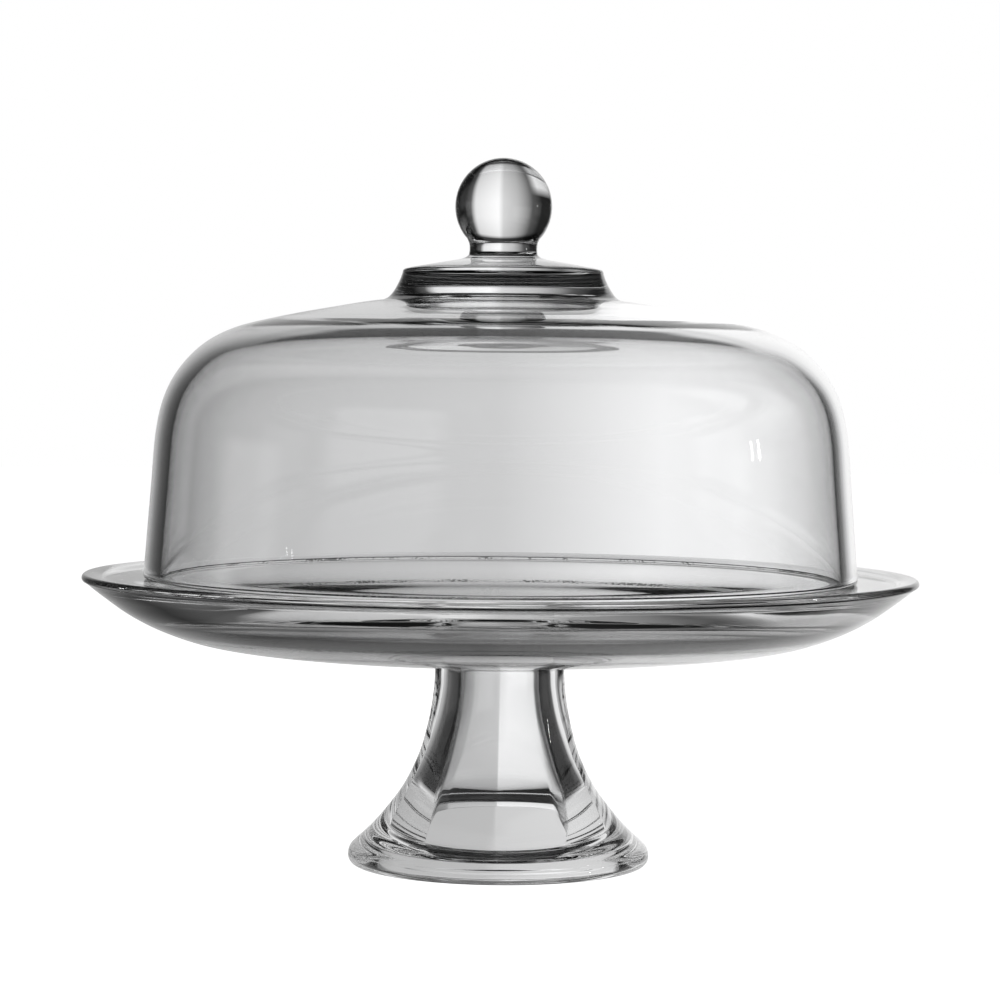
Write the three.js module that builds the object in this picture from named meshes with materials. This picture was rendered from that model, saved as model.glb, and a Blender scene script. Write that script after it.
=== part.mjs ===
// A footed cake stand of pressed clear glass with its loose glass dome.
// Millimetres, +Z up. The origin is the centre of the foot's flat resting ring.
//
// Two loose pieces: the stand (plate fused to a hollow pedestal) and the dome
// (bell-shaped shell, stepped boss and solid ball knob fused together). Pieces
// that are fused on the real object keep a small joint gap here, so that each
// one stays a closed solid of its own.

import * as THREE from 'three';

// ---- driving dimensions ----------------------------------------------------

const JOINT_GAP = 0.3;
const ROUND_SEGMENTS = 40;

const PLATE_RADIUS = 165;
const PLATE_RIM_Z = 113.7;
const PLATE_RIM_ROUNDING = 1.6;
const PLATE_LIP_TOP_Z = 115;
const PLATE_LIP_INNER_RADIUS = 157;
const LEDGE_Z = 113;
const LEDGE_INNER_RADIUS = 133;
const WELL_FLOOR_Z = 98;
const WELL_FLOOR_RADIUS = 84;

const STEM_JOINT_RADIUS = 26.2;
const STEM_JOINT_Z = 83;
const FOOT_RADIUS = 59.8;
const FOOT_ROUNDING = 3.2;
const FOOT_REST_INNER_RADIUS = 48.6;
const CAVITY_CEILING_Z = 81;
const CAVITY_SHELF_Z = 5;
const CAVITY_SHELF_RADIUS = 33.7;
const FLUTE_COUNT = 8;
const SEGMENTS_PER_FLUTE = 5;
const FLUTE_DEPTH = 0.45;
const FLUTE_TURN = THREE.MathUtils.degToRad(20.5);

const DOME_WALL = 6.5;
const DOME_FOOT_Z = LEDGE_Z + JOINT_GAP;
const DOME_FOOT_RADIUS = 141;
const DOME_EDGE_ROUNDING = 3.2;

const BOSS_SEAT_RADIUS = 47.5;
const BOSS_SEAT_Z = 223.2;
const BOSS_TOP_RADIUS = 39.4;
const BOSS_TOP_Z = 235.4;
const BOSS_CONE_RADIUS = 37.6;

const KNOB_JOINT_Z = 241.8;
const KNOB_JOINT_RADIUS = 13.6;
const NECK_RADIUS = 13.4;
const NECK_Z = 244.6;
const BALL_RADIUS = 19.2;
const BALL_CENTRE_Z = 260.6;
const BALL_SEGMENTS = 32;

// ---- profile helpers: every profile is a list of (radius, height) points ----

const point = ([radius, height]) => new THREE.Vector2(radius, height);

// A smooth stretch through hand-placed points, with `steps` pieces between two.
function smooth(knots, steps) {
  const curve = new THREE.SplineCurve(knots.map(point));
  return curve.getPoints((knots.length - 1) * steps);
}

// A round stretch about (radius, height), angles in degrees from outward.
function arc(radius, height, size, fromDeg, toDeg, steps) {
  const points = [];
  for (let i = 0; i <= steps; i += 1) {
    const angle = THREE.MathUtils.degToRad(fromDeg + ((toDeg - fromDeg) * i) / steps);
    points.push(point([radius + size * Math.cos(angle), height + size * Math.sin(angle)]));
  }
  return points;
}

// The same stretch moved sideways by `distance`, to the right of its direction.
function offset(points, distance) {
  return points.map((here, i) => {
    const before = points[Math.max(i - 1, 0)];
    const after = points[Math.min(i + 1, points.length - 1)];
    const along = after.clone().sub(before).normalize();
    const shifted = point([here.x + along.y * distance, here.y - along.x * distance]);
    shifted.x = i === 0 ? here.x : Math.max(shifted.x, 0);
    return shifted;
  });
}

// ---- solids of revolution --------------------------------------------------

// Turns a profile about the vertical axis. The profile runs with the glass on
// its left: up the outside and back down the inside.
function revolve(profile, segments) {
  const geometry = new THREE.LatheGeometry(profile, segments);
  geometry.rotateX(Math.PI / 2);
  return geometry;
}

// A clear glass piece of the assembly, ready to be added to the group.
function glassPiece(name, geometry, color) {
  const material = new THREE.MeshStandardMaterial({
    color,
    roughness: 0.04,
    metalness: 0,
    transparent: true,
    opacity: 0.4,
  });
  const mesh = new THREE.Mesh(geometry, material);
  mesh.name = name;
  return mesh;
}

// ---- stand: plate ----------------------------------------------------------

// Shallow bowl underside, rounded rim with a low lip, a flat ledge that carries
// the dome, and a dished well in the middle.
function plateProfile() {
  const underside = smooth(
    [
      [STEM_JOINT_RADIUS, STEM_JOINT_Z],
      [56, 84],
      [80, 84.8],
      [100, 86],
      [120, 88.8],
      [135, 93.7],
      [147, 99.8],
      [157, 106.9],
      [163.4, 111.9],
    ],
    2,
  );
  const well = smooth(
    [
      [LEDGE_INNER_RADIUS, LEDGE_Z],
      [126, 109.8],
      [118, 104.4],
      [110, 100.4],
      [98, WELL_FLOOR_Z + 0.4],
      [WELL_FLOOR_RADIUS, WELL_FLOOR_Z],
    ],
    2,
  );
  return [
    point([0, STEM_JOINT_Z]),
    ...underside,
    ...arc(PLATE_RADIUS - PLATE_RIM_ROUNDING, PLATE_RIM_Z, PLATE_RIM_ROUNDING, -45, 90, 3),
    point([PLATE_LIP_INNER_RADIUS + 2, PLATE_LIP_TOP_Z]),
    point([PLATE_LIP_INNER_RADIUS, LEDGE_Z + 0.8]),
    point([PLATE_LIP_INNER_RADIUS - 2, LEDGE_Z]),
    ...well,
    point([0, WELL_FLOOR_Z]),
  ];
}

// ---- stand: pedestal -------------------------------------------------------

// Outside: a slim waist that flares to a rounded foot.
function pedestalOutside() {
  const flare = smooth(
    [
      [58.9, 6.9],
      [56.8, 9],
      [50.4, 15],
      [42.8, 24],
      [36.9, 32.7],
      [31.4, 44.8],
      [28, 57.6],
      [26.2, 69],
      [25.8, 77],
      [STEM_JOINT_RADIUS, STEM_JOINT_Z - JOINT_GAP],
    ],
    2,
  );
  return [
    point([FOOT_REST_INNER_RADIUS, 0]),
    ...arc(FOOT_RADIUS - FOOT_ROUNDING, FOOT_ROUNDING, FOOT_ROUNDING, -90, 0, 4),
    point([FOOT_RADIUS, 5]),
    ...flare,
    point([0, STEM_JOINT_Z - JOINT_GAP]),
  ];
}

// Inside: a thick-walled cavity that runs from its ceiling down to the edge of
// the shelf, and bears the flutes.
function pedestalCavity() {
  return smooth(
    [
      [13.2, CAVITY_CEILING_Z],
      [15.8, 77],
      [16.3, 69],
      [17.7, 59.3],
      [20.1, 49.7],
      [23.5, 38.2],
      [27.4, 28],
      [30.4, 18.6],
      [32.8, 10],
      [CAVITY_SHELF_RADIUS, CAVITY_SHELF_Z],
    ],
    1,
  );
}

// Under the foot: a shallow round recess inside the resting ring.
function pedestalMouth() {
  return smooth(
    [
      [38, CAVITY_SHELF_Z],
      [43, CAVITY_SHELF_Z - 0.3],
      [46.4, CAVITY_SHELF_Z - 1.2],
      [47.9, 2],
      [FOOT_REST_INNER_RADIUS, 0],
    ],
    1,
  );
}

function pedestalGeometry() {
  const outside = [...pedestalOutside(), point([0, CAVITY_CEILING_Z])];
  const cavity = pedestalCavity();
  const profile = [...outside, ...cavity, ...pedestalMouth()];
  const geometry = revolve(profile, FLUTE_COUNT * SEGMENTS_PER_FLUTE);
  pressFlutes(geometry, profile.length, outside.length, outside.length + cavity.length);
  return geometry.rotateZ(FLUTE_TURN);
}

// Presses flutes into the points `from` to `to` of a turned profile. A depth of 1
// would give flat sides between the ribs, less leaves the sides bulging.
function pressFlutes(geometry, profileLength, from, to) {
  const position = geometry.attributes.position;
  const panel = (2 * Math.PI) / FLUTE_COUNT;
  for (let i = 0; i < position.count; i += 1) {
    const onProfile = i % profileLength;
    if (onProfile < from || onProfile >= to) {
      continue;
    }
    const [x, y] = [position.getX(i), position.getY(i)];
    const angle = Math.atan2(y, x);
    const fromMiddle = angle - Math.round(angle / panel) * panel;
    const flat = Math.cos(panel / 2) / Math.cos(fromMiddle);
    const inward = 1 + (flat - 1) * FLUTE_DEPTH;
    position.setXY(i, x * inward, y * inward);
  }
}

// ---- dome: shell, boss and knob --------------------------------------------

// Bell-shaped shell with a flat seat on its crown and a rounded bottom edge.
function domeShellProfile() {
  const crownToEdge = smooth(
    [
      [0, 224.4],
      [BOSS_SEAT_RADIUS, BOSS_SEAT_Z],
      [70, 219.8],
      [90, 215.9],
      [106, 211.7],
      [118, 205.3],
      [127.3, 195.8],
      [133.2, 184.8],
      [136.4, 171],
      [138, 152],
      [139.6, 132],
      [DOME_FOOT_RADIUS, DOME_FOOT_Z + DOME_EDGE_ROUNDING],
    ],
    2,
  );
  const outside = crownToEdge.filter((p) => p.x >= BOSS_SEAT_RADIUS);
  const inside = offset(crownToEdge, DOME_WALL);
  const edge = [
    ...arc(DOME_FOOT_RADIUS - DOME_EDGE_ROUNDING, DOME_FOOT_Z + DOME_EDGE_ROUNDING, DOME_EDGE_ROUNDING, -25, -90, 3),
    point([DOME_FOOT_RADIUS - DOME_WALL + 1.2, DOME_FOOT_Z]),
  ];
  return [point([0, BOSS_SEAT_Z]), ...outside, ...edge, ...inside.reverse()].reverse();
}

// Stepped round boss that flares into the crown, with a low cone on top.
function crownBossProfile() {
  const side = smooth(
    [
      [BOSS_SEAT_RADIUS, BOSS_SEAT_Z + JOINT_GAP],
      [43.4, 226.6],
      [40.8, 231.4],
      [BOSS_TOP_RADIUS, BOSS_TOP_Z],
    ],
    2,
  );
  const cone = smooth(
    [
      [BOSS_CONE_RADIUS, 236.6],
      [26, 238.3],
      [17, 239.7],
      [KNOB_JOINT_RADIUS, KNOB_JOINT_Z - JOINT_GAP],
    ],
    2,
  );
  return [
    point([0, BOSS_SEAT_Z + JOINT_GAP]),
    ...side,
    ...cone,
    point([0, KNOB_JOINT_Z - JOINT_GAP]),
  ];
}

// Solid ball on a short waisted neck.
function knobProfile() {
  return [
    point([0, KNOB_JOINT_Z]),
    point([KNOB_JOINT_RADIUS, KNOB_JOINT_Z]),
    point([NECK_RADIUS, NECK_Z]),
    ...arc(0, BALL_CENTRE_Z, BALL_RADIUS, -41, 90, 12),
  ];
}

// ---- assembly --------------------------------------------------------------

const stand = new THREE.Group();
stand.add(glassPiece('plate', revolve(plateProfile(), ROUND_SEGMENTS), 0xdfe6e8));
stand.add(glassPiece('pedestal', pedestalGeometry(), 0xd9e2e5));

const dome = new THREE.Group();
dome.add(glassPiece('dome_shell', revolve(domeShellProfile(), ROUND_SEGMENTS), 0xe6ecee));
dome.add(glassPiece('crown_boss', revolve(crownBossProfile(), ROUND_SEGMENTS), 0xdde5e7));
dome.add(glassPiece('knob', revolve(knobProfile(), BALL_SEGMENTS), 0xe2e9eb));

const cakeStand = new THREE.Group();
cakeStand.add(stand, dome);

export default cakeStand;
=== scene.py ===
"""A footed cake stand of pressed clear glass with its loose glass dome.

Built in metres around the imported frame: every glass piece is a fine surface of
revolution that stands for the faceted CAD node of the same name. Profiles are
written in millimetres, as (radius, height) points, and scaled once.
"""
import math

import bpy
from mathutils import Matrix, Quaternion, Vector


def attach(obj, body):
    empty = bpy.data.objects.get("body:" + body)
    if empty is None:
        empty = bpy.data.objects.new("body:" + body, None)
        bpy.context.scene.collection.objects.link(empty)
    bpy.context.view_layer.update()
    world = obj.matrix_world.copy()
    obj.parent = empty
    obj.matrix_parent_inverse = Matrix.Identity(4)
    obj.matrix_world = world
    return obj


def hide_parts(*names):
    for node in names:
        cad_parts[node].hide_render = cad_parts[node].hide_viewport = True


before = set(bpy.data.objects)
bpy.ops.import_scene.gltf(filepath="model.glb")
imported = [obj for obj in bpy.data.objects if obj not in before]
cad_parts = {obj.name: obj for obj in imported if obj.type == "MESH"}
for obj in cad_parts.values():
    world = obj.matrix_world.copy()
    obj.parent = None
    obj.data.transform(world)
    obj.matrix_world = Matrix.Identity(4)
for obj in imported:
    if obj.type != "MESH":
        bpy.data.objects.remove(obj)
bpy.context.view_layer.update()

MM = 0.001

# ---- driving dimensions, millimetres -----------------------------------------

PLATE_RADIUS = 165
PLATE_RIM_Z = 113.7
RIM_ROUNDING = 1.6
LEDGE_Z = 113
WELL_FLOOR_Z = 98
RING_RADIUS = 119
RING_OUTER_REACH = 0.8
RING_INNER_REACH = 2.2
STEM_JOINT_RADIUS = 26.2
STEM_JOINT_Z = 82.85
CAVITY_CEILING_Z = 81.4
FLUTE_COUNT = 8
FLUTE_TURN = math.radians(20.5)
FLUTE_DEPTH = 0.22
FLUTE_GROWTH = 1.6
FLUTE_FADE_HEIGHT = 60
FOOT_RADIUS = 59.8
FOOT_ROUNDING = 3.2
DOME_WALL = 6.5
DOME_FOOT_Z = 113.3
DOME_FOOT_RADIUS = 141
DOME_EDGE_ROUNDING = 1.4
DOME_EDGE_STEPS = 9
DOME_LIP_ROUNDING = 1.6
BOSS_SEAT_RADIUS = 47.5
BOSS_SEAT_Z = 223.35
KNOB_JOINT_RADIUS = 13.6
KNOB_JOINT_Z = 241.65
BALL_RADIUS = 19.2
BALL_CENTRE_Z = 260.6

SEGMENTS = 240
PEDESTAL_SEGMENTS = FLUTE_COUNT * 36

# ---- looks ---------------------------------------------------------------------

GLASS_SLOT, JOINT_SLOT, STIPPLE_SHADE_SLOT, UNDERSIDE_SHADE_SLOT = 0, 1, 2, 3
INDEX_OF_REFRACTION = 1.5
TINT = (0.985, 0.987, 0.99)
SHADOW_TINT = (0.93, 0.94, 0.94, 1)
RIPPLE = (14, 0.00002)
GRAIN_SCALE = 800
PATCH_SCALE = 60
# Painted shade, tinted by height into the underside glass: a broad dark band low on the bowl, and a thin
# one under the rim.
UNDERSIDE_SHADE_BANDS = [(84, 0.55), (92, 0.55), (94.5, 0.06), (99, 0.06), (101, 0.42), (106, 0.5), (110.6, 1),
                   (112.3, 0.01), (112.9, 0.01), (113.3, 0.95)]

# ---- studio and camera, metres and degrees -------------------------------------

FLOOR_REACH = 6
TABLE_SIDE = 0.3
TABLE_DROP = 0.001
TABLE_SHADE_REACH = 0.1
TABLE_TRANSMISSIONS = 2.5
TABLE_REACH = (0.06, 0.14)
# Painted light: the glow of the table patch, darker on the left and lighter on the right.
TABLE_PAINTED_LIGHT = [(-1, 0.5), (-0.06, 0.55), (0, 0.66), (1, 0.85)]

# The studio the glass sees: panels in a dark room, each a tone by degrees round the stand
# (0 straight behind it, positive to the right) and a share by degrees above the horizon.
BACKDROP = ([(-180, 0.01), (-40, 0.02), (-26, 0.1), (-11, 0.56), (0, 0.74), (4, 1.1), (11, 1.02),
             (25, 0.86), (31, 0.1), (40, 0.01), (180, 0.01)],
            [(-90, 0.02), (-60, 0.03), (-56, 0.45), (-40, 0.7), (0, 1), (12, 1), (29, 0.85), (33, 0.06),
             (90, 0.04)])
LEFT_PANEL = ([(-106, 0), (-100, 0.55), (-80, 0.55), (-74, 0)], [(-18, 0), (-13, 1), (6, 1), (10, 0)])
RIGHT_PANEL = ([(76, 0), (82, 0.3), (98, 0.3), (104, 0)], [(-16, 0), (-12, 1), (5, 1), (9, 0)])
LOW_LEFT_PANEL = ([(-78, 0), (-64, 0.85), (-35, 0.85), (-24, 0)], [(-54, 0), (-40, 1), (-17, 1), (-7, 0)])
FRONT_PANEL = ([(108, 0), (116, 0.85), (154, 0.85), (162, 0)], [(-38, 0), (-32, 1), (-4, 1), (0, 0)])
PANELS = [BACKDROP, LEFT_PANEL, RIGHT_PANEL, LOW_LEFT_PANEL, FRONT_PANEL]

CAMERA_DISTANCE = 1.2
CAMERA_HEIGHT = 0.187
CAMERA_ASIDE = -0.0005
LENS_MM = 108.9
PITCH_DOWN = math.radians(2.03)
ROLL = math.radians(0.5)


# ---- profiles ------------------------------------------------------------------

def smooth(knots, steps):
    """A Catmull-Rom stretch through given points, `steps` pieces between two."""
    first = [2 * a - b for a, b in zip(knots[0], knots[1])]
    last = [2 * a - b for a, b in zip(knots[-1], knots[-2])]
    points = [first, *knots, last]
    out = []
    for before, start, end, after in zip(points, points[1:], points[2:], points[3:]):
        for step in range(steps):
            t = step / steps
            out.append(tuple(
                b + 0.5 * t * (c - a + t * (2 * a - 5 * b + 4 * c - d + t * (3 * (b - c) + d - a)))
                for a, b, c, d in zip(before, start, end, after)))
    return out + [tuple(knots[-1])]


def arc(radius, height, size, start, end, steps):
    """A round stretch about (radius, height), from `start` to `end` degrees."""
    angles = [math.radians(start + (end - start) * i / steps) for i in range(steps + 1)]
    return [(radius + size * math.cos(a), height + size * math.sin(a)) for a in angles]


def offset(points, distance):
    """The same stretch moved sideways, to the right of its direction."""
    out = []
    for i, (r, z) in enumerate(points):
        r0, z0 = points[max(i - 1, 0)]
        r1, z1 = points[min(i + 1, len(points) - 1)]
        length = math.hypot(r1 - r0, z1 - z0)
        moved = (r + (z1 - z0) / length * distance, z - (r1 - r0) / length * distance)
        out.append((0 if i == 0 else max(moved[0], 0), moved[1]))
    return out


# ---- meshes --------------------------------------------------------------------

def revolve(name, outline, segments=SEGMENTS, shape=None, slots=None):
    """A closed surface of revolution from axis to axis, as one named object.

    `shape(index, radius, height, angle)` may bend a point's radius and height.
    `slots` names the material slot of the outline's stretches that aren't plain glass.
    """
    vertices, rings = [], []
    for index, (radius, height) in enumerate(outline):
        start = len(vertices)
        if radius < 1e-6:
            vertices.append((0, 0, height * MM))
            rings.append([start] * segments)
            continue
        for k in range(segments):
            angle = 2 * math.pi * k / segments
            r, z = shape(index, radius, height, angle) if shape else (radius, height)
            vertices.append((r * math.cos(angle) * MM, r * math.sin(angle) * MM, z * MM))
        rings.append(list(range(start, start + segments)))
    faces, kinds = [], []
    for index, (low, high) in enumerate(zip(rings, rings[1:])):
        for k in range(segments):
            n = (k + 1) % segments
            corners = list(dict.fromkeys((low[k], low[n], high[n], high[k])))
            if len(corners) > 2:
                faces.append(corners)
                kinds.append(slots.get(index, GLASS_SLOT) if slots else GLASS_SLOT)
    mesh = bpy.data.meshes.new(name)
    mesh.from_pydata(vertices, [], faces)
    mesh.polygons.foreach_set("material_index", kinds)
    mesh.polygons.foreach_set("use_smooth", [True] * len(faces))
    mark_joint_edges(mesh)
    mesh.update()
    piece = bpy.data.objects.new(name, mesh)
    bpy.context.scene.collection.objects.link(piece)
    return piece


def mark_joint_edges(mesh):
    """Sharp edges round the joint faces keep the shading of the walls apart from them."""
    kinds = {}
    for polygon in mesh.polygons:
        for key in polygon.edge_keys:
            kinds.setdefault(key, set()).add(polygon.material_index)
    for edge in mesh.edges:
        edge.use_edge_sharp = len(kinds[tuple(sorted(edge.vertices))]) > 1


# ---- pieces --------------------------------------------------------------------

def make_plate():
    underside = smooth(
        [(STEM_JOINT_RADIUS, STEM_JOINT_Z), (29, 83.3), (40, 83.7), (56, 84), (80, 84.8), (100, 86),
         (120, 88.8), (135, 93.7), (147, 99.8), (157, 106.9), (163.6, 112.1)], 6)
    rim = arc(PLATE_RADIUS - RIM_ROUNDING, PLATE_RIM_Z, RIM_ROUNDING, -40, 80, 10)
    lip = smooth([(163, 115.25), (160, 115), (157.5, 114.4), (156, 113.5), (154.6, 113.05),
                  (152, LEDGE_Z), (142, LEDGE_Z), (133, LEDGE_Z)], 4)
    well = smooth([(133, LEDGE_Z), (130.6, 112.5), (126, 109.8), (118, 104.4), (110, 100.4),
                   (98, WELL_FLOOR_Z + 0.4), (84, WELL_FLOOR_Z)], 5)[1:]
    outline = [(0, STEM_JOINT_Z), *underside, *rim, *lip, *well, (50, WELL_FLOOR_Z), (0, WELL_FLOOR_Z)]
    # The underside and rim take the glass with painted shade bands.
    slots = {index: UNDERSIDE_SHADE_SLOT for index in range(1, len(underside) + len(rim))}
    # Faces across the ring take the stippled glass with painted shade grains.
    for index in range(len(underside) + len(rim), len(outline) - 1):
        starts, ends = outline[index][0], outline[index + 1][0]
        if starts < RING_RADIUS + RING_OUTER_REACH and ends > RING_RADIUS - RING_INNER_REACH:
            slots[index] = STIPPLE_SHADE_SLOT
    slots[0] = JOINT_SLOT
    return revolve("plate_glass", outline, slots=slots)


def make_pedestal():
    ceiling = [(0, CAVITY_CEILING_Z), (8, CAVITY_CEILING_Z), (12.4, CAVITY_CEILING_Z - 0.1)]
    ribs = smooth([(13.2, 81.1), (15.2, 79.6), (15.9, 77), (16.3, 69), (17.7, 59.3), (20.1, 49.7),
                   (23.5, 38.2), (27.4, 28), (30.4, 18.6), (32.8, 10), (33.6, 5.4)], 8)
    mouth = smooth([(33.6, 5.4), (33.9, 4.9), (34.8, 4.7), (38, 4.9), (43, 4.6), (46.4, 3.8),
                    (47.6, 2.4), (47.9, 0.6), (48.6, 0)], 5)[1:]
    rounding = arc(FOOT_RADIUS - FOOT_ROUNDING, FOOT_ROUNDING, FOOT_ROUNDING, -90, 0, 9)
    outside = [*rounding, *smooth(
        [(59.7, 5), (58.9, 6.9), (56.8, 9), (50.4, 15), (42.8, 24), (36.9, 32.7), (31.4, 44.8),
         (28, 57.6), (26.2, 69), (25.8, 77), (STEM_JOINT_RADIUS, STEM_JOINT_Z)], 6)]
    outline = [*ceiling, *ribs, *mouth, *outside, (0, STEM_JOINT_Z)]
    first_mouth = len(ceiling) + len(ribs)
    panel = 2 * math.pi / FLUTE_COUNT

    def flutes(index, radius, height, angle):
        if index >= first_mouth:
            return radius, height
        within = angle - FLUTE_TURN
        within -= round(within / panel) * panel
        flat = math.cos(panel / 2) / math.cos(within)
        depth = FLUTE_DEPTH * (FLUTE_GROWTH - height / FLUTE_FADE_HEIGHT)
        return radius * (1 + (flat - 1) * depth), height

    slots = {len(outline) - 2: JOINT_SLOT}
    return revolve("pedestal_glass", outline, PEDESTAL_SEGMENTS, flutes, slots)


def make_dome_shell():
    crown = smooth(
        [(0, 224.4), (24, 224.2), (BOSS_SEAT_RADIUS, BOSS_SEAT_Z), (70, 219.8), (90, 215.9), (106, 211.7),
         (118, 205.3), (127.3, 195.8), (133.2, 184.8), (136.4, 171), (138, 152), (139.6, 132),
         (DOME_FOOT_RADIUS, DOME_FOOT_Z + DOME_EDGE_ROUNDING)], 10)
    outside = [p for p in crown if p[0] >= BOSS_SEAT_RADIUS]
    inside = offset(crown, DOME_WALL)
    edge_z = DOME_FOOT_Z + DOME_EDGE_ROUNDING
    edge = arc(DOME_FOOT_RADIUS - DOME_EDGE_ROUNDING, edge_z, DOME_EDGE_ROUNDING, -8, -90, DOME_EDGE_STEPS)
    lip = DOME_LIP_ROUNDING
    edge += arc(DOME_FOOT_RADIUS - DOME_WALL + lip, DOME_FOOT_Z + lip, lip, -90, -172, 6)
    outline = [*inside, *edge[::-1], *outside[::-1], (0, BOSS_SEAT_Z)]
    # The foot's rounded edge takes the stippled glass with painted shade grains.
    slots = {len(inside) - 1 + index: STIPPLE_SHADE_SLOT for index in range(DOME_EDGE_STEPS)}
    slots[len(outline) - 2] = JOINT_SLOT
    return revolve("dome_shell_glass", outline, slots=slots)


def make_crown_boss():
    side = smooth([(BOSS_SEAT_RADIUS, BOSS_SEAT_Z), (45.2, 224.6), (43.2, 227), (41.7, 229.6), (40.6, 232),
                   (39.8, 234.3)], 5)
    shoulder = arc(38.6, 234.5, 1.2, 0, 75, 5)
    cone = smooth([(38.4, 235.9), (32, 237.1), (24, 238.5), (18.5, 239.4), (15.6, 240.2), (14.2, 241),
                   (KNOB_JOINT_RADIUS, KNOB_JOINT_Z)], 5)
    outline = [(0, BOSS_SEAT_Z), *side, *shoulder, *cone[1:], (0, KNOB_JOINT_Z)]
    return revolve("crown_boss_glass", outline, 200, slots={0: JOINT_SLOT, len(outline) - 2: JOINT_SLOT})


def make_knob():
    neck = smooth([(KNOB_JOINT_RADIUS, KNOB_JOINT_Z), (13.4, 243), (13.4, 244.6), (13.6, 246.2),
                   (14.3, 247.8)], 4)
    ball = arc(0, BALL_CENTRE_Z, BALL_RADIUS, -40, 90, 44)
    outline = [(0, KNOB_JOINT_Z), *neck, *ball[1:-1], (0, BALL_CENTRE_Z + BALL_RADIUS)]
    return revolve("knob_glass", outline, 128, slots={0: JOINT_SLOT})


# ---- materials -----------------------------------------------------------------

def node_material(name):
    material = bpy.data.materials.new(name)
    material.use_nodes = True
    material.node_tree.nodes.clear()
    return material, material.node_tree.nodes, material.node_tree.links


def object_height(nodes, links, low, high):
    """How high a point lies on its own piece: 0 at `low` mm, 1 at `high` mm."""
    coordinates = nodes.new("ShaderNodeTexCoord")
    split = nodes.new("ShaderNodeSeparateXYZ")
    share = nodes.new("ShaderNodeMapRange")
    share.inputs["From Min"].default_value = low * MM
    share.inputs["From Max"].default_value = high * MM
    links.new(coordinates.outputs["Object"], split.inputs[0])
    links.new(split.outputs["Z"], share.inputs["Value"])
    return share


def noise(nodes, links, coordinates, scale, detail):
    texture = nodes.new("ShaderNodeTexNoise")
    texture.inputs["Scale"].default_value = scale
    texture.inputs["Detail"].default_value = detail
    links.new(coordinates.outputs["Object"], texture.inputs["Vector"])
    return texture.outputs["Fac"]


def glass(name, tint, ripple, shade_bands=None):
    """Clear pressed glass that lets light rays cast soft shadows.

    `ripple` is the (scale per metre, depth in metres) of the uneven surface and
    the bands the (height mm, share of light) pairs of painted shade, tinted into faces met from outside.
    """
    material, nodes, links = node_material(name)
    out = nodes.new("ShaderNodeOutputMaterial")
    mix = nodes.new("ShaderNodeMixShader")
    path = nodes.new("ShaderNodeLightPath")
    clear = nodes.new("ShaderNodeBsdfTransparent")
    clear.inputs["Color"].default_value = SHADOW_TINT
    shader = nodes.new("ShaderNodeBsdfPrincipled")
    shader.inputs["Base Color"].default_value = (*tint, 1)
    shader.inputs["Transmission Weight"].default_value = 1
    shader.inputs["Roughness"].default_value = 0
    shader.inputs["IOR"].default_value = INDEX_OF_REFRACTION
    coordinates = nodes.new("ShaderNodeTexCoord")
    height = noise(nodes, links, coordinates, ripple[0], 1.5)
    bump = nodes.new("ShaderNodeBump")
    bump.inputs["Strength"].default_value = 1
    bump.inputs["Distance"].default_value = ripple[1]
    links.new(height, bump.inputs["Height"])
    links.new(bump.outputs["Normal"], shader.inputs["Normal"])
    # Painted shade: dark bands by height in the base colour, only on faces met from outside.
    if shade_bands:
        lowest, highest = shade_bands[0][0], shade_bands[-1][0]
        levels = object_height(nodes, links, lowest, highest)
        tones = ramp(nodes, [(at, light ** 2) for at, light in shade_bands], lowest, highest)
        links.new(levels.outputs[0], tones.inputs[0])
        where = nodes.new("ShaderNodeNewGeometry")
        entering = nodes.new("ShaderNodeMix")
        entering.data_type = "RGBA"
        entering.inputs["B"].default_value = (*tint, 1)
        links.new(where.outputs["Backfacing"], entering.inputs["Factor"])
        links.new(tones.outputs[0], entering.inputs["A"])
        links.new(entering.outputs["Result"], shader.inputs["Base Color"])
    links.new(path.outputs["Is Shadow Ray"], mix.inputs["Fac"])
    links.new(shader.outputs[0], mix.inputs[1])
    links.new(clear.outputs[0], mix.inputs[2])
    links.new(mix.outputs[0], out.inputs["Surface"])
    return material


def stipple_and_shade_glass():
    """A stippled edge: matt, bumpy glass with clear grains and dark grains of painted shade."""
    material, nodes, links = node_material("stippled_painted_shade_glass")
    out = nodes.new("ShaderNodeOutputMaterial")
    shader = nodes.new("ShaderNodeBsdfPrincipled")
    shader.inputs["Transmission Weight"].default_value = 1
    shader.inputs["Roughness"].default_value = 0.32
    shader.inputs["IOR"].default_value = INDEX_OF_REFRACTION
    coordinates = nodes.new("ShaderNodeTexCoord")
    grains = noise(nodes, links, coordinates, GRAIN_SCALE, 2)
    patches = noise(nodes, links, coordinates, PATCH_SCALE, 1)
    both = nodes.new("ShaderNodeMath")
    both.operation = "MULTIPLY"
    # Painted shade: most grains get a dark base colour.
    tones = ramp(nodes, [(0, 1), (0.27, 0.95), (0.33, 0.12), (1, 0.05)], 0, 1)
    bump = nodes.new("ShaderNodeBump")
    bump.inputs["Strength"].default_value = 0.6
    bump.inputs["Distance"].default_value = 0.0004
    links.new(grains, both.inputs[0])
    links.new(patches, both.inputs[1])
    links.new(both.outputs[0], tones.inputs[0])
    links.new(tones.outputs[0], shader.inputs["Base Color"])
    links.new(grains, bump.inputs["Height"])
    links.new(bump.outputs["Normal"], shader.inputs["Normal"])
    links.new(shader.outputs[0], out.inputs["Surface"])
    return material


def fused_joint():
    """The face between two fused pieces: one body of glass, so nothing shows there."""
    material, nodes, links = node_material("fused_joint")
    out = nodes.new("ShaderNodeOutputMaterial")
    clear = nodes.new("ShaderNodeBsdfTransparent")
    links.new(clear.outputs[0], out.inputs["Surface"])
    return material


# ---- studio --------------------------------------------------------------------

def square(reach, height):
    """The corners of a level square, `reach` metres from its middle to each side."""
    return [(x * reach, y * reach, height) for x, y in ((-1, -1), (1, -1), (1, 1), (-1, 1))]


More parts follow.
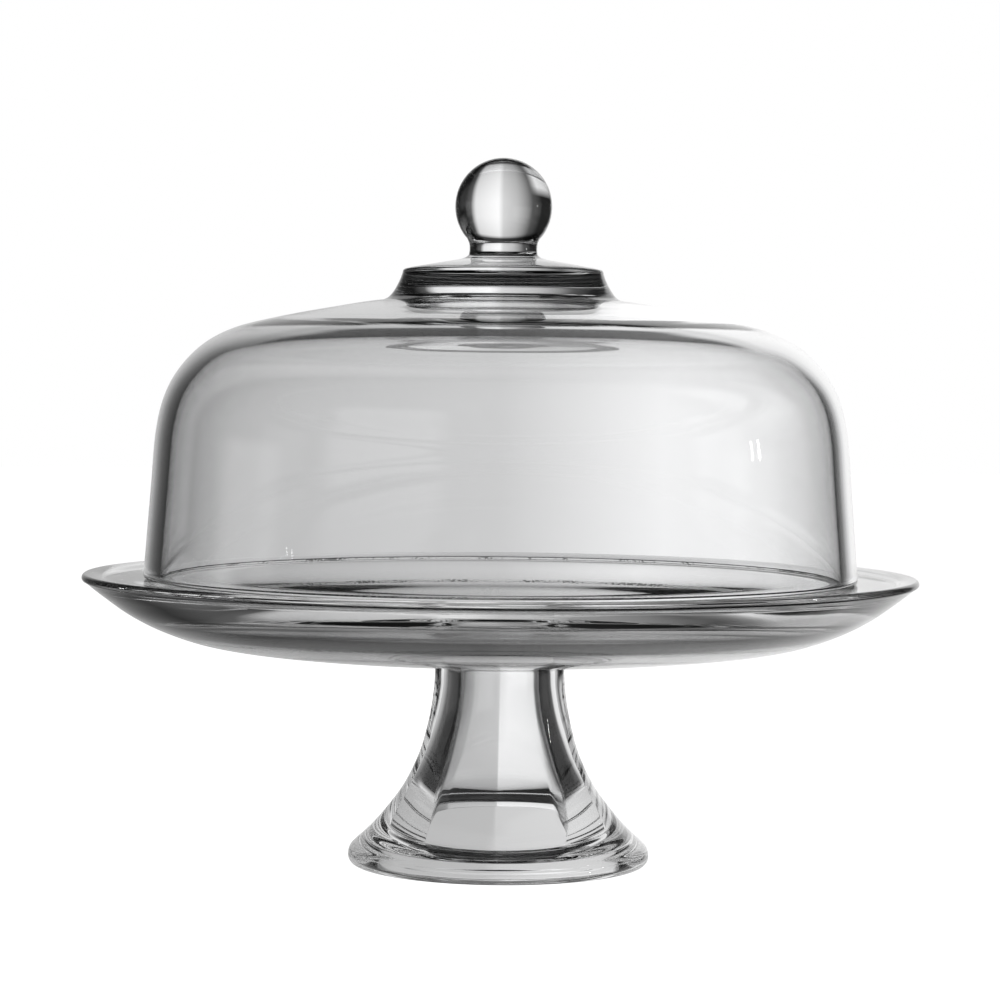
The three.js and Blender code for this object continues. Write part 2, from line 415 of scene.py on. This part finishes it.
def make_floor():
    """A wide pale floor for the camera; the glass itself looks through it at the studio."""
    mesh = bpy.data.meshes.new("floor")
    mesh.from_pydata(square(FLOOR_REACH, 0), [], [(0, 1, 2, 3)])
    floor = bpy.data.objects.new("floor", mesh)
    bpy.context.scene.collection.objects.link(floor)
    material, nodes, links = node_material("floor_paper")
    out = nodes.new("ShaderNodeOutputMaterial")
    path = nodes.new("ShaderNodeLightPath")
    paper = nodes.new("ShaderNodeBsdfDiffuse")
    paper.inputs["Color"].default_value = (0.9, 0.9, 0.9, 1)
    glow = nodes.new("ShaderNodeEmission")
    glow.inputs["Strength"].default_value = 1
    lit = nodes.new("ShaderNodeAddShader")
    clear = nodes.new("ShaderNodeBsdfTransparent")
    mix = nodes.new("ShaderNodeMixShader")
    links.new(paper.outputs[0], lit.inputs[0])
    links.new(glow.outputs[0], lit.inputs[1])
    links.new(path.outputs["Is Camera Ray"], mix.inputs["Fac"])
    links.new(clear.outputs[0], mix.inputs[1])
    links.new(lit.outputs[0], mix.inputs[2])
    links.new(mix.outputs[0], out.inputs["Surface"])
    mesh.materials.append(material)


def make_table():
    """Painted light: a glowing patch of table round the foot, lighter to the right and fading outwards,
    seen only through the glass.
    """
    mesh = bpy.data.meshes.new("table")
    mesh.from_pydata(square(TABLE_SIDE, -TABLE_DROP), [], [(0, 1, 2, 3)])
    table = bpy.data.objects.new("table", mesh)
    bpy.context.scene.collection.objects.link(table)
    table.visible_camera = False
    table.visible_shadow = False
    table.visible_diffuse = False
    material, nodes, links = node_material("table_painted_light")
    out = nodes.new("ShaderNodeOutputMaterial")
    mix = nodes.new("ShaderNodeMixShader")
    clear = nodes.new("ShaderNodeBsdfTransparent")
    glow = nodes.new("ShaderNodeEmission")
    coordinates = nodes.new("ShaderNodeTexCoord")
    split = nodes.new("ShaderNodeSeparateXYZ")
    side = nodes.new("ShaderNodeMapRange")
    side.inputs["From Min"].default_value = -TABLE_SHADE_REACH
    side.inputs["From Max"].default_value = TABLE_SHADE_REACH
    tones = ramp(nodes, TABLE_PAINTED_LIGHT, -1, 1)
    reach = nodes.new("ShaderNodeVectorMath")
    reach.operation = "LENGTH"
    edge = nodes.new("ShaderNodeMapRange")
    edge.interpolation_type = "SMOOTHSTEP"
    edge.inputs["From Min"].default_value = TABLE_REACH[1]
    edge.inputs["From Max"].default_value = TABLE_REACH[0]
    links.new(coordinates.outputs["Object"], split.inputs[0])
    links.new(split.outputs["X"], side.inputs["Value"])
    links.new(side.outputs[0], tones.inputs[0])
    links.new(tones.outputs[0], glow.inputs["Color"])
    links.new(coordinates.outputs["Object"], reach.inputs[0])
    links.new(reach.outputs["Value"], edge.inputs["Value"])
    path = nodes.new("ShaderNodeLightPath")
    near = nodes.new("ShaderNodeMath")
    near.operation = "LESS_THAN"
    near.inputs[1].default_value = TABLE_TRANSMISSIONS
    share = nodes.new("ShaderNodeMath")
    share.operation = "MULTIPLY"
    links.new(path.outputs["Transmission Depth"], near.inputs[0])
    links.new(near.outputs[0], share.inputs[0])
    links.new(edge.outputs[0], share.inputs[1])
    links.new(share.outputs[0], mix.inputs["Fac"])
    links.new(clear.outputs[0], mix.inputs[1])
    links.new(glow.outputs[0], mix.inputs[2])
    links.new(mix.outputs[0], out.inputs["Surface"])
    mesh.materials.append(material)


def ramp(nodes, stops, low, high):
    """A colour ramp of grey tones, given as (place, tone) between `low` and `high`."""
    node = nodes.new("ShaderNodeValToRGB")
    elements = node.color_ramp.elements
    while len(elements) > 1:
        elements.remove(elements[-1])
    for number, (place, tone) in enumerate(stops):
        position = (place - low) / (high - low)
        element = elements.new(position) if number else elements[0]
        element.position = position
        element.color = (tone, tone, tone, 1)
    return node


def make_world():
    """White for the camera; a studio of panels and dark flags for the glass."""
    world = bpy.data.worlds.new("studio")
    bpy.context.scene.world = world
    world.use_nodes = True
    nodes, links = world.node_tree.nodes, world.node_tree.links
    nodes.clear()
    out = nodes.new("ShaderNodeOutputWorld")
    path = nodes.new("ShaderNodeLightPath")
    white = nodes.new("ShaderNodeBackground")
    white.inputs["Color"].default_value = (1, 1, 1, 1)
    studio = nodes.new("ShaderNodeBackground")
    pick = nodes.new("ShaderNodeMixShader")
    coordinates = nodes.new("ShaderNodeTexCoord")
    split = nodes.new("ShaderNodeSeparateXYZ")
    links.new(coordinates.outputs["Generated"], split.inputs[0])

    def remap(source, low, high):
        node = nodes.new("ShaderNodeMapRange")
        node.inputs["From Min"].default_value = low
        node.inputs["From Max"].default_value = high
        links.new(source, node.inputs["Value"])
        return node.outputs[0]

    turn = nodes.new("ShaderNodeMath")
    turn.operation = "ARCTAN2"
    links.new(split.outputs["X"], turn.inputs[0])
    links.new(split.outputs["Y"], turn.inputs[1])
    lift = nodes.new("ShaderNodeMath")
    lift.operation = "ARCSINE"
    links.new(split.outputs["Z"], lift.inputs[0])
    azimuth = remap(turn.outputs[0], -math.pi, math.pi)
    elevation = remap(lift.outputs[0], -math.pi / 2, math.pi / 2)

    def tone(stops, low, high, source):
        node = ramp(nodes, stops, low, high)
        links.new(source, node.inputs[0])
        return node.outputs[0]

    def combine(kind, first, second):
        node = nodes.new("ShaderNodeMix")
        node.data_type = "RGBA"
        node.blend_type = kind
        node.inputs["Factor"].default_value = 1
        links.new(first, node.inputs["A"])
        links.new(second, node.inputs["B"])
        return node.outputs["Result"]

    view = None
    for around, upward in PANELS:
        panel = combine("MULTIPLY", tone(around, -180, 180, azimuth), tone(upward, -90, 90, elevation))
        view = combine("ADD", view, panel) if view else panel
    links.new(view, studio.inputs["Color"])
    links.new(path.outputs["Is Camera Ray"], pick.inputs["Fac"])
    links.new(studio.outputs[0], pick.inputs[1])
    links.new(white.outputs[0], pick.inputs[2])
    links.new(pick.outputs[0], out.inputs["Surface"])


def area_light(name, place, aim, size, power):
    data = bpy.data.lights.new(name, "AREA")
    data.shape = "RECTANGLE"
    data.size, data.size_y = size
    data.energy = power
    light = bpy.data.objects.new(name, data)
    light.location = place
    light.rotation_euler = (Vector(aim) - Vector(place)).to_track_quat("-Z", "Y").to_euler()
    bpy.context.scene.collection.objects.link(light)
    return light


# ---- camera --------------------------------------------------------------------

def make_camera():
    data = bpy.data.cameras.new("camera")
    data.lens = LENS_MM
    data.sensor_width = 36
    data.clip_end = 50
    camera = bpy.data.objects.new("camera", data)
    camera.location = (CAMERA_ASIDE, -CAMERA_DISTANCE, CAMERA_HEIGHT)
    camera.rotation_mode = "QUATERNION"
    pitch = Quaternion((1, 0, 0), math.pi / 2 - PITCH_DOWN)
    camera.rotation_quaternion = pitch @ Quaternion((0, 0, 1), ROLL)
    bpy.context.scene.collection.objects.link(camera)
    bpy.context.scene.camera = camera


# ---- build ---------------------------------------------------------------------

make_camera()
clear = glass("clear_glass", TINT, RIPPLE)
# Underside glass with painted shade bands by height.
underside = glass("plate_underside_painted_shade_glass", TINT, RIPPLE, shade_bands=UNDERSIDE_SHADE_BANDS)
stipple_and_shade = stipple_and_shade_glass()
joint = fused_joint()
PIECES = [
    (make_plate, "plate", "stand", "plate_glass"),
    (make_pedestal, "pedestal", "stand", "pedestal_glass"),
    (make_dome_shell, "dome_shell", "dome", "dome_glass"),
    (make_crown_boss, "crown_boss", "dome", "knob_glass"),
    (make_knob, "knob", "dome", "knob_glass"),
]
MATERIALS = {
    "plate": [clear, joint, stipple_and_shade, underside],
    "dome_shell": [clear, joint, stipple_and_shade],
}
for make, node, body, slot in PIECES:
    piece = make()
    for material in MATERIALS.get(node, [clear, joint]):
        piece.data.materials.append(material)
    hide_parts(node)
    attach(piece, body)

make_floor()
make_table()
make_world()
area_light("strip", (1.15, -0.07, 0.3), (0, 0, 0.2), (0.02, 0.1), 0.12)
sky = area_light("floor_fill", (0, -0.4, 2), (0, 0, 0), (1.6, 1.6), 14)
sky.visible_glossy = False
sky.visible_transmission = False

scene = bpy.context.scene
scene.view_settings.view_transform = "Standard"
scene.cycles.max_bounces = 24
scene.cycles.transmission_bounces = 24
scene.cycles.glossy_bounces = 12
scene.cycles.transparent_max_bounces = 24
scene.cycles.caustics_refractive = False
scene.cycles.caustics_reflective = False
